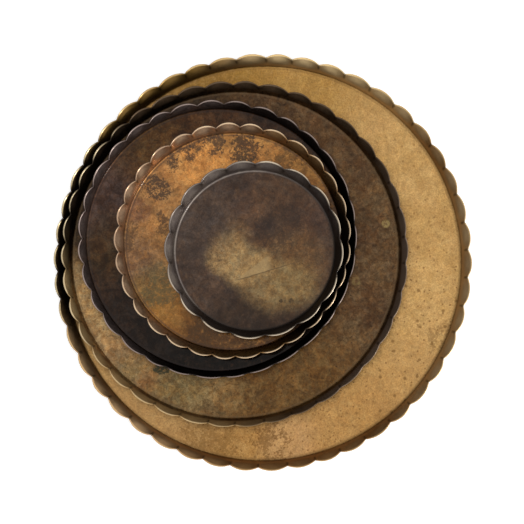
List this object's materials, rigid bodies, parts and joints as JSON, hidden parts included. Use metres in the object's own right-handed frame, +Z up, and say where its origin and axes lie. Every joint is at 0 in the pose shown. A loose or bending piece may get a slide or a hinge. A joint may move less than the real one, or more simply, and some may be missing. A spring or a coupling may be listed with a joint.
{
  "type": "nested scalloped brass trays",
  "caption": "Nested stack of loose round brass trays, each a shallow pressed dish with a flat floor and a scalloped rim that leans outwards, lying off-centre one in another.",
  "frame": {"origin": "centre of the underside of the largest tray", "axes": "+Z up, +X and +Y in the plane of the trays' floors; +X points right and +Y away when the stack is seen from above"},
  "size_m": [0.457, 0.4564, 0.02],
  "materials": {
    "base_brass": "aged, golden, warm, with small dark spots",
    "second_brass": "dark olive-brown patina",
    "third_brass": "near-black brown patina",
    "fourth_brass": "aged orange-gold with dark blotches",
    "top_brass": "dull grey-brown patina, paler in the middle"
  },
  "bodies": {
    "base_tray": {"base_tray": "base_brass"},
    "second_tray": {"second_tray": "second_brass"},
    "third_tray": {"third_tray": "third_brass"},
    "fourth_tray": {"fourth_tray": "fourth_brass"},
    "top_tray": {"top_tray": "top_brass"}
  },
  "joints": [
    {"name": "second_tray_lift", "type": "slide", "parent": "base_tray", "child": "second_tray", "axis": [0, 0, 1], "range_m": [0, 0.06]},
    {"name": "third_tray_lift", "type": "slide", "parent": "second_tray", "child": "third_tray", "axis": [0, 0, 1], "range_m": [0, 0.06]},
    {"name": "fourth_tray_lift", "type": "slide", "parent": "third_tray", "child": "fourth_tray", "axis": [0, 0, 1], "range_m": [0, 0.06]},
    {"name": "top_tray_lift", "type": "slide", "parent": "fourth_tray", "child": "top_tray", "axis": [0, 0, 1], "range_m": [0, 0.06]}
  ]
}
